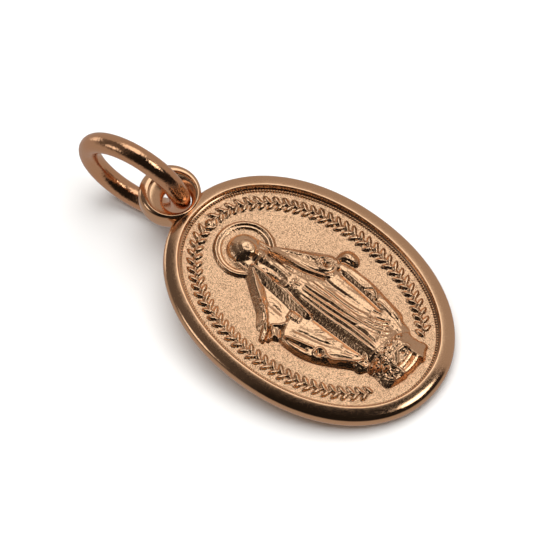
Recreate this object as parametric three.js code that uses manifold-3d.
// Religious medal pendant: an oval medal struck in one piece with its round eyelet,
// and a closed jump ring of round wire that stands in the eyelet.
// The medal lies face up. The jump ring under the eyelet props its upper end off the surface.
import * as THREE from 'three';
import { mergeVertices } from 'three/addons/utils/BufferGeometryUtils.js';
import Module from 'manifold-3d';

const wasm = await Module();
wasm.setup();

// Driving dimensions, in millimetres and degrees
const medalLength = 18;
const medalWidth = 13;
const ovalFullness = 2.08;
const rimThickness = 1.2;
const rimEdgeRadius = 0.42;
const rimWidth = 0.74;
const rimInnerDrop = 0.15;
const lineGap = 0.08;
const lineWidth = 0.24;
const lineHeight = 0.12;
const fieldThickness = 0.7;
const fieldDepthFront = 0.4;
const reliefHeight = 0.5;
const clothEdge = 0.5;
const foldStart = 0.3;
const haloRadius = 1.55;
const haloRidgeWidth = 0.3;
const haloRidgeGap = 0.3;
const haloHeight = 0.3;
const bandInset = 1.78;
const bandPitch = 0.6;
const leafLength = 0.62;
const leafWidth = 0.26;
const leafHeight = 0.2;
const leafTurn = 38;
const eyeletRadius = 1.78;
const eyeletThickness = 1.3;
const eyeletOverlap = 0.63;
const eyeletLipWidth = 0.36;
const eyeletLipDepth = 0.16;
const eyeletStepWidth = 0.18;
const eyeletConeDepth = 0.3;
const holeRadius = 0.92;
const holeOffset = 0.49;
const wireDiameter = 1.2;
const jumpRingOuterDiameter = 7.36;
const jumpRingGap = 0.12;
const jumpRingOffset = 0.1;
const jumpRingYaw = 9;
const jumpRingLean = 4;
const jumpRingRise = 3;

// How finely the curves are cut, and how deep joined forms sink into each other
const ovalSides = 64;
const edgeSteps = 3;
const eyeletSides = 32;
const ringSides = 44;
const wireSides = 12;
const haloSides = 40;
const reliefCell = 0.17;
const sink = 0.12;

// Sizes worked out from the driving dimensions
const halfLength = medalLength / 2;
const halfWidth = medalWidth / 2;
const rimHalf = rimThickness / 2;
const fieldTop = rimHalf - fieldDepthFront;
const fieldBottom = fieldTop - fieldThickness;
const fieldInset = rimWidth + lineGap + lineWidth;
const fieldHalfWidth = halfWidth - fieldInset;
const fieldHalfLength = halfLength - fieldInset;
const eyeletY = halfLength + eyeletRadius - eyeletOverlap;
const holeY = eyeletY - holeOffset;
const eyeletHalf = eyeletThickness / 2;
const wireRadius = wireDiameter / 2;
const jumpRingRadius = jumpRingOuterDiameter / 2 - wireRadius;

// Forms of the figure. x, left, right and widths are shares of the field's half width, y of its
// half length, and heights are shares of the relief height.
const panels = [
  {
    name: 'gown', height: 0.74,
    rows: [
      { y: 0.45, left: -0.1, right: 0.1 },
      { y: 0.32, left: -0.13, right: 0.14 },
      { y: 0.17, left: -0.13, right: 0.17 },
      { y: 0.06, left: -0.18, right: 0.22 },
      { y: -0.06, left: -0.22, right: 0.3 },
      { y: -0.25, left: -0.23, right: 0.36 },
      { y: -0.44, left: -0.22, right: 0.37 },
      { y: -0.65, left: -0.18, right: 0.34 },
    ],
  },
  {
    name: 'cloak, lower left', height: 0.5,
    rows: [
      { y: 0.0, left: -0.55, right: -0.12 },
      { y: -0.13, left: -0.6, right: -0.12 },
      { y: -0.25, left: -0.6, right: -0.12 },
      { y: -0.38, left: -0.55, right: -0.12 },
      { y: -0.51, left: -0.45, right: -0.12 },
      { y: -0.66, left: -0.33, right: -0.1 },
    ],
  },
  {
    name: 'cloak, lower right', height: 0.36,
    rows: [
      { y: 0.02, left: 0.24, right: 0.52 },
      { y: -0.13, left: 0.27, right: 0.55 },
      { y: -0.25, left: 0.3, right: 0.56 },
      { y: -0.38, left: 0.3, right: 0.53 },
      { y: -0.51, left: 0.3, right: 0.47 },
      { y: -0.69, left: 0.26, right: 0.37 },
    ],
  },
  {
    name: 'mantle, left', height: 0.3,
    rows: [
      { y: 0.45, left: -0.22, right: -0.04 },
      { y: 0.25, left: -0.41, right: -0.06 },
      { y: 0.13, left: -0.5, right: -0.08 },
      { y: 0.02, left: -0.55, right: -0.12 },
      { y: -0.05, left: -0.5, right: -0.12 },
    ],
  },
  {
    name: 'mantle, right', height: 0.45,
    rows: [
      { y: 0.45, left: 0.04, right: 0.22 },
      { y: 0.25, left: 0.11, right: 0.38 },
      { y: 0.13, left: 0.17, right: 0.49 },
      { y: 0.02, left: 0.25, right: 0.54 },
      { y: -0.04, left: 0.31, right: 0.5 },
    ],
  },
];
const limbs = [
  { name: 'left arm', width: 0.1, height: 0.8, path: [[-0.12, 0.42], [-0.33, 0.27], [-0.55, 0.1]] },
  { name: 'left hand', width: 0.05, height: 0.6, path: [[-0.54, 0.08], [-0.65, 0.03]] },
  { name: 'left sleeve', width: 0.06, height: 0.6, path: [[-0.59, 0.0], [-0.5, 0.03], [-0.32, -0.03]] },
  { name: 'right arm', width: 0.11, height: 0.85, path: [[0.15, 0.42], [0.34, 0.27], [0.52, 0.05]] },
  { name: 'right hand', width: 0.075, height: 0.75, path: [[0.55, 0.02], [0.61, -0.04]] },
  { name: 'right sleeve', width: 0.06, height: 0.8, path: [[0.31, 0.01], [0.39, -0.02], [0.5, 0.02]] },
  { name: 'neck', width: 0.1, height: 0.7, path: [[0, 0.52], [0, 0.42]] },
  { name: 'belt', width: 0.05, height: 0.95, path: [[-0.1, 0.165], [0.15, 0.155]] },
  { name: 'cloud', width: 0.06, height: 0.85, path: [[-0.28, -0.7], [-0.08, -0.72]] },
  { name: 'cloud', width: 0.06, height: 0.9, path: [[-0.02, -0.71], [0.28, -0.72]] },
];
const folds = [
  { name: 'mantle edge, left', width: 0.06, height: 0.3, path: [[-0.11, 0.4], [-0.13, 0.2], [-0.16, 0]] },
  { name: 'mantle edge, right', width: 0.07, height: 0.3, path: [[0.13, 0.4], [0.19, 0.17], [0.3, 0]] },
  { name: 'gown, left', width: 0.06, height: 0.2, path: [[-0.12, 0.1], [-0.15, -0.3], [-0.13, -0.62]] },
  { name: 'gown, middle', width: 0.06, height: 0.25, path: [[-0.02, 0.1], [-0.03, -0.3], [-0.02, -0.62]] },
  { name: 'gown, right', width: 0.06, height: 0.25, path: [[0.08, 0.12], [0.1, -0.3], [0.12, -0.6]] },
  { name: 'gown, outer', width: 0.08, height: 0.25, path: [[0.18, 0.05], [0.23, -0.3], [0.27, -0.6]] },
  { name: 'cloak, rim', width: 0.07, height: 0.25, path: [[-0.5, -0.08], [-0.4, -0.33], [-0.22, -0.6]] },
  { name: 'cloak, inner', width: 0.07, height: 0.25, path: [[-0.37, -0.08], [-0.28, -0.33], [-0.2, -0.5]] },
  { name: 'cloak, right', width: 0.07, height: 0.25, path: [[0.46, -0.08], [0.51, -0.28], [0.4, -0.5]] },
];
const domes = [
  { name: 'veil', x: -0.01, y: 0.575, rx: 0.19, ry: 0.145, height: 0.75, square: 2 },
  { name: 'face', x: 0, y: 0.585, rx: 0.085, ry: 0.08, height: 1, square: 2 },
  { name: 'left cuff', x: -0.28, y: -0.05, rx: 0.075, ry: 0.065, height: 0.85, square: 2 },
  { name: 'bow', x: -0.06, y: 0.15, rx: 0.06, ry: 0.04, height: 1, square: 2 },
  { name: 'globe', x: -0.01, y: -0.86, rx: 0.36, ry: 0.21, height: 0.85, square: 2.4 },
];
const haloPlace = 0.585;
const garlandGap = 0.4;
// The globe is cut off along the border line
const globeFoot = 0.955;

const rad = THREE.MathUtils.degToRad;

// A closed mesh with merged vertices becomes a solid
function solid(geometry) {
  const bare = geometry.clone();
  bare.deleteAttribute('normal');
  bare.deleteAttribute('uv');
  const merged = mergeVertices(bare, 1e-5);
  return new wasm.Manifold(new wasm.Mesh({
    numProp: 3,
    vertProperties: new Float32Array(merged.attributes.position.array),
    triVerts: new Uint32Array(merged.index.array),
  }));
}

function geometryOf(body) {
  const mesh = body.getMesh();
  const geometry = new THREE.BufferGeometry();
  geometry.setAttribute('position', new THREE.BufferAttribute(mesh.vertProperties, 3));
  geometry.setIndex(new THREE.BufferAttribute(mesh.triVerts, 1));
  geometry.computeVertexNormals();
  return geometry;
}

// A point of the medal's outline, moved inwards by inset along the outline's normal
function ovalPoint(angle, inset) {
  const power = 2 / ovalFullness;
  const along = Math.cos(angle);
  const up = Math.sin(angle);
  const x = halfWidth * Math.sign(along) * Math.abs(along) ** power;
  const y = halfLength * Math.sign(up) * Math.abs(up) ** power;
  const slope = ovalFullness - 1;
  const nx = Math.sign(x) * Math.abs(x / halfWidth) ** slope / halfWidth;
  const ny = Math.sign(y) * Math.abs(y / halfLength) ** slope / halfLength;
  const length = Math.hypot(nx, ny);
  return { x: x - inset * nx / length, y: y - inset * ny / length, turn: Math.atan2(ny, nx) };
}

// Stacked rings of points joined into a closed body, with flat caps cut into strips
function loft(rings) {
  const sides = rings[0].length;
  const points = rings.flat().flatMap((p) => [p.x, p.y, p.z]);
  const index = [];
  for (let row = 0; row + 1 < rings.length; row += 1) {
    for (let side = 0; side < sides; side += 1) {
      const next = (side + 1) % sides;
      const a = row * sides + side;
      const b = row * sides + next;
      index.push(a, b, b + sides, a, b + sides, a + sides);
    }
  }
  const cap = (start, flip) => {
    for (let step = 0; step < sides / 2; step += 1) {
      const near = start + step;
      const far = start + (sides - step) % sides;
      const corners = [near, near + 1, start + sides - step - 1, far];
      if (corners[2] !== corners[1]) index.push(...triangle(corners[0], corners[1], corners[2], flip));
      if (corners[3] !== corners[0]) index.push(...triangle(corners[0], corners[2], corners[3], flip));
    }
  };
  cap(0, true);
  cap((rings.length - 1) * sides, false);
  const geometry = new THREE.BufferGeometry();
  geometry.setAttribute('position', new THREE.Float32BufferAttribute(points, 3));
  geometry.setIndex(index);
  return geometry;
}

function triangle(a, b, c, flip) {
  return flip ? [a, c, b] : [a, b, c];
}

// The medal's blank: rounded rim, inner slope, raised border line, and a flat field on each side
function blank() {
  const wall = rimHalf - rimEdgeRadius;
  const rows = [];
  const back = fieldBottom + rimHalf;
  rows.push({ inset: rimWidth + back, z: fieldBottom });
  rows.push({ inset: rimWidth, z: -rimHalf });
  for (let step = 0; step <= edgeSteps; step += 1) {
    const turn = Math.PI / 2 * step / edgeSteps;
    const inset = rimEdgeRadius * (1 - Math.sin(turn));
    rows.push({ inset, z: -wall - rimEdgeRadius * Math.cos(turn) });
  }
  for (let step = edgeSteps; step >= 0; step -= 1) {
    const turn = Math.PI / 2 * step / edgeSteps;
    const inset = rimEdgeRadius * (1 - Math.sin(turn));
    rows.push({ inset, z: wall + rimEdgeRadius * Math.cos(turn) });
  }
  rows.push({ inset: rimWidth, z: rimHalf - rimInnerDrop });
  rows.push({ inset: rimWidth + lineGap, z: fieldTop });
  rows.push({ inset: rimWidth + lineGap + lineWidth / 4, z: fieldTop + lineHeight });
  rows.push({ inset: rimWidth + lineGap + lineWidth * 3 / 4, z: fieldTop + lineHeight });
  rows.push({ inset: fieldInset, z: fieldTop });
  return loft(rows.map(({ inset, z }) => ovalRing(inset, z)));
}

function ovalRing(inset, z) {
  return Array.from({ length: ovalSides }, (_, side) => {
    const { x, y } = ovalPoint(2 * Math.PI * side / ovalSides, inset);
    return { x, y, z };
  });
}

// The space over the field, which the figure keeps to
function fieldSpace() {
  return loft([ovalRing(fieldInset, fieldTop - 2 * sink), ovalRing(fieldInset, fieldTop + 2 * reliefHeight)]);
}

// Height of a rounded form at a share t of the way from its middle to its edge, below 0 outside
function rounded(t, height) {
  return t < 1 ? height * Math.sqrt(1 - t * t) : height * (1 - t);
}

// Distance from a path, as a share of its width
function pathShare({ path, width }, x, y) {
  const point = new THREE.Vector2(x, y);
  const stations = path.map(([u, v]) => new THREE.Vector2(u * fieldHalfWidth, v * fieldHalfLength));
  const distances = stations.slice(1).map((to, step) => {
    const from = stations[step];
    const run = to.clone().sub(from);
    const along = THREE.MathUtils.clamp(point.clone().sub(from).dot(run) / run.lengthSq(), 0, 1);
    return point.distanceTo(from.clone().addScaledVector(run, along));
  });
  return Math.min(...distances) / (width * fieldHalfWidth);
}

// A fold is a soft wave that is added to what lies under it
function foldHeight(fold, x, y) {
  const share = Math.min(1, pathShare(fold, x, y));
  return fold.height * (1 + Math.cos(Math.PI * share)) / 2;
}

function domeHeight({ x: cx, y: cy, rx, ry, height, square }, x, y) {
  const u = Math.abs(x / fieldHalfWidth - cx) / rx;
  const v = Math.abs(y / fieldHalfLength - cy) / ry;
  return rounded((u ** square + v ** square) ** (1 / square), height);
}

// A crowned panel of cloth between a left and a right edge that change with y
function panelHeight({ rows, height }, x, y) {
  const u = x / fieldHalfWidth;
  const v = y / fieldHalfLength;
  const last = rows.length - 1;
  const below = rows.findIndex((row) => row.y < v);
  const lower = below === -1 ? last : Math.max(1, below);
  const mix = THREE.MathUtils.clamp((rows[lower - 1].y - v) / (rows[lower - 1].y - rows[lower].y), 0, 1);
  const left = THREE.MathUtils.lerp(rows[lower - 1].left, rows[lower].left, mix);
  const right = THREE.MathUtils.lerp(rows[lower - 1].right, rows[lower].right, mix);
  const side = Math.min(u - left, right - u) * fieldHalfWidth;
  const end = Math.min(rows[0].y - v, v - rows[last].y) * fieldHalfLength;
  const edge = Math.min(side, end);
  if (edge < 0) return edge / reliefHeight;
  const middle = (left + right) / 2;
  const crown = 1 - ((u - middle) / (right - left)) ** 2;
  return height * crown * Math.sqrt(Math.min(1, edge / clothEdge));
}

// Height of the whole figure over the field, in millimetres, below 0 where there is none
function figureHeight(x, y) {
  const cloth = Math.max(...panels.map((panel) => panelHeight(panel, x, y)));
  const waves = cloth > 0 ? folds.map((fold) => foldHeight(fold, x, y)) : [0];
  const figure = Math.max(
    cloth + Math.max(...waves) * Math.min(1, cloth / foldStart),
    ...limbs.map((limb) => rounded(pathShare(limb, x, y), limb.height)),
    ...domes.map((dome) => domeHeight(dome, x, y)),
  );
  const foot = 1 - Math.hypot(x / fieldHalfWidth, y / fieldHalfLength) / globeFoot;
  return reliefHeight * Math.min(figure, foot * fieldHalfLength / reliefHeight);
}

// The figure as a plate whose top follows figureHeight and whose foot is sunk in the blank
function figurePlate() {
  const left = -0.72 * fieldHalfWidth;
  const right = 0.72 * fieldHalfWidth;
  const top = 0.76 * fieldHalfLength;
  const bottom = -fieldHalfLength;
  const columns = Math.ceil((right - left) / reliefCell);
  const rows = Math.ceil((top - bottom) / reliefCell);
  const points = [];
  const index = [];
  for (const under of [true, false]) {
    for (let row = 0; row <= rows; row += 1) {
      for (let column = 0; column <= columns; column += 1) {
        const x = left + (right - left) * column / columns;
        const y = bottom + (top - bottom) * row / rows;
        const height = Math.max(-sink, figureHeight(x, y));
        points.push(x, y, under ? fieldTop - 2 * sink : fieldTop + height);
      }
    }
  }
  const wide = columns + 1;
  const layer = wide * (rows + 1);
  for (let row = 0; row < rows; row += 1) {
    for (let column = 0; column < columns; column += 1) {
      const a = row * wide + column;
      index.push(a, a + wide + 1, a + 1, a, a + wide, a + wide + 1);
      const b = a + layer;
      index.push(b, b + 1, b + wide + 1, b, b + wide + 1, b + wide);
    }
  }
  const edge = [];
  for (let column = 0; column < columns; column += 1) edge.push(column);
  for (let row = 0; row < rows; row += 1) edge.push(row * wide + columns);
  for (let column = columns; column > 0; column -= 1) edge.push(rows * wide + column);
  for (let row = rows; row > 0; row -= 1) edge.push(row * wide);
  edge.forEach((a, step) => {
    const b = edge[(step + 1) % edge.length];
    index.push(a, b, b + layer, a, b + layer, a + layer);
  });
  const geometry = new THREE.BufferGeometry();
  geometry.setAttribute('position', new THREE.Float32BufferAttribute(points, 3));
  geometry.setIndex(index);
  return geometry;
}

// Two concentric ridges behind the head
function haloRidges() {
  const y = haloPlace * fieldHalfLength;
  return [haloRadius, haloRadius - haloRidgeGap].map((radius) => {
    const ridge = new THREE.TorusGeometry(radius, haloRidgeWidth / 2, 6, haloSides);
    ridge.scale(1, 1, 2 * haloHeight / haloRidgeWidth);
    ridge.translate(0, y, fieldTop);
    return ridge;
  });
}

// A garland of leaf pairs round the field, open at the foot where the globe stands
function garlandLeaves() {
  const leaves = [];
  const round = Math.PI * (halfWidth + halfLength - 2 * bandInset);
  const pairs = Math.round(round / bandPitch);
  const gap = garlandGap * fieldHalfWidth;
  const foot = (leafHeight + sink) / leafHeight;
  for (let pair = 0; pair < pairs; pair += 1) {
    const { x, y, turn } = ovalPoint(2 * Math.PI * pair / pairs - Math.PI / 2, bandInset);
    if (y < 0 && Math.abs(x) < gap + leafLength) continue;
    for (const side of [-1, 1]) {
      const leaf = new THREE.ConeGeometry(1, leafHeight + sink, 6);
      leaf.rotateX(Math.PI / 2);
      leaf.scale(foot * leafLength / 2, foot * leafWidth / 2, 1);
      leaf.translate(leafLength / 2, 0, (leafHeight - sink) / 2);
      leaf.rotateZ(Math.PI / 2 - side * rad(90 - leafTurn));
      leaf.rotateZ(turn);
      leaf.translate(x, y, fieldTop);
      leaves.push(leaf);
    }
  }
  return leaves;
}

// A ring of the eyelet: the smaller it is, the nearer its middle lies to the hole's
function eyeletRing(radius, z) {
  const share = (radius - holeRadius) / (eyeletRadius - holeRadius);
  const middle = holeY + holeOffset * share;
  return Array.from({ length: eyeletSides }, (_, side) => {
    const turn = 2 * Math.PI * side / eyeletSides;
    return { x: radius * Math.cos(turn), y: middle + radius * Math.sin(turn), z };
  });
}

function eyeletBody() {
  const lip = eyeletRadius - eyeletLipWidth / 2;
  const wall = eyeletHalf - eyeletLipWidth;
  return loft([
    eyeletRing(lip - eyeletLipWidth / 4, -eyeletHalf),
    eyeletRing(lip + eyeletLipWidth / 4, -eyeletHalf + eyeletLipWidth / 4),
    eyeletRing(eyeletRadius, -wall),
    eyeletRing(eyeletRadius, wall),
    eyeletRing(lip + eyeletLipWidth / 4, eyeletHalf - eyeletLipWidth / 4),
    eyeletRing(lip - eyeletLipWidth / 4, eyeletHalf),
  ]);
}

// What is cut out of the eyelet: a stepped countersink on each side of a round hole
function eyeletHole() {
  const lip = eyeletRadius - eyeletLipWidth;
  const step = lip - eyeletStepWidth;
  const floor = eyeletHalf - eyeletLipDepth;
  const cone = floor - eyeletConeDepth;
  const mouth = Math.max(holeRadius, step - eyeletStepWidth);
  const side = (sign) => [
    eyeletRing(lip, sign * (eyeletHalf + sink)),
    eyeletRing(lip, sign * eyeletHalf),
    eyeletRing(step, sign * floor),
    eyeletRing(mouth, sign * floor),
    eyeletRing(holeRadius, sign * cone),
  ];
  return loft([...side(-1), ...side(1).reverse()]);
}

function medal() {
  let body = solid(blank()).add(solid(figurePlate()).intersect(solid(fieldSpace())));
  for (const ridge of haloRidges()) body = body.add(solid(ridge));
  for (const leaf of garlandLeaves()) body = body.add(solid(leaf));
  body = body.add(solid(eyeletBody())).subtract(solid(eyeletHole()));
  return geometryOf(body);
}

const roseGold = new THREE.MeshStandardMaterial({ color: 0xd9a57c, roughness: 0.3, metalness: 1 });
const roseGoldWire = new THREE.MeshStandardMaterial({ color: 0xd39a72, roughness: 0.18, metalness: 1 });

const medalMesh = new THREE.Mesh(medal(), roseGold);
medalMesh.name = 'medal';

const ringMesh = new THREE.Mesh(
  new THREE.TorusGeometry(jumpRingRadius, wireRadius, wireSides, ringSides),
  roseGoldWire,
);
ringMesh.name = 'jump_ring';
// The ring stands upright in the hole, against the hole's side towards the medal
const away = new THREE.Vector3(0, jumpRingRadius, 0)
  .applyEuler(new THREE.Euler(rad(jumpRingRise), 0, rad(jumpRingYaw), 'ZYX'));
ringMesh.rotation.set(rad(jumpRingRise), rad(90 - jumpRingLean), rad(jumpRingYaw), 'ZXY');
ringMesh.position.set(jumpRingOffset, holeY - (holeRadius - wireRadius - jumpRingGap), 0).add(away);

const lying = new THREE.Group();
lying.add(medalMesh, ringMesh);

// Lowest point of a mesh once the lying group has its place
function lowest(mesh) {
  lying.updateMatrixWorld(true);
  return new THREE.Box3().setFromObject(mesh, true).min.z;
}

// The pitch at which the rim's foot and the ring's lowest point touch the surface together
let flat = 0;
let steep = rad(45);
for (let step = 0; step < 40; step += 1) {
  lying.rotation.x = (flat + steep) / 2;
  if (lowest(ringMesh) < lowest(medalMesh)) flat = lying.rotation.x;
  else steep = lying.rotation.x;
}
lying.updateMatrixWorld(true);
const box = new THREE.Box3().setFromObject(lying, true);
lying.position.set(-(box.min.x + box.max.x) / 2, -(box.min.y + box.max.y) / 2, -box.min.z);

const pendant = new THREE.Group();
pendant.add(lying);
pendant.updateMatrixWorld(true);

export default pendant;
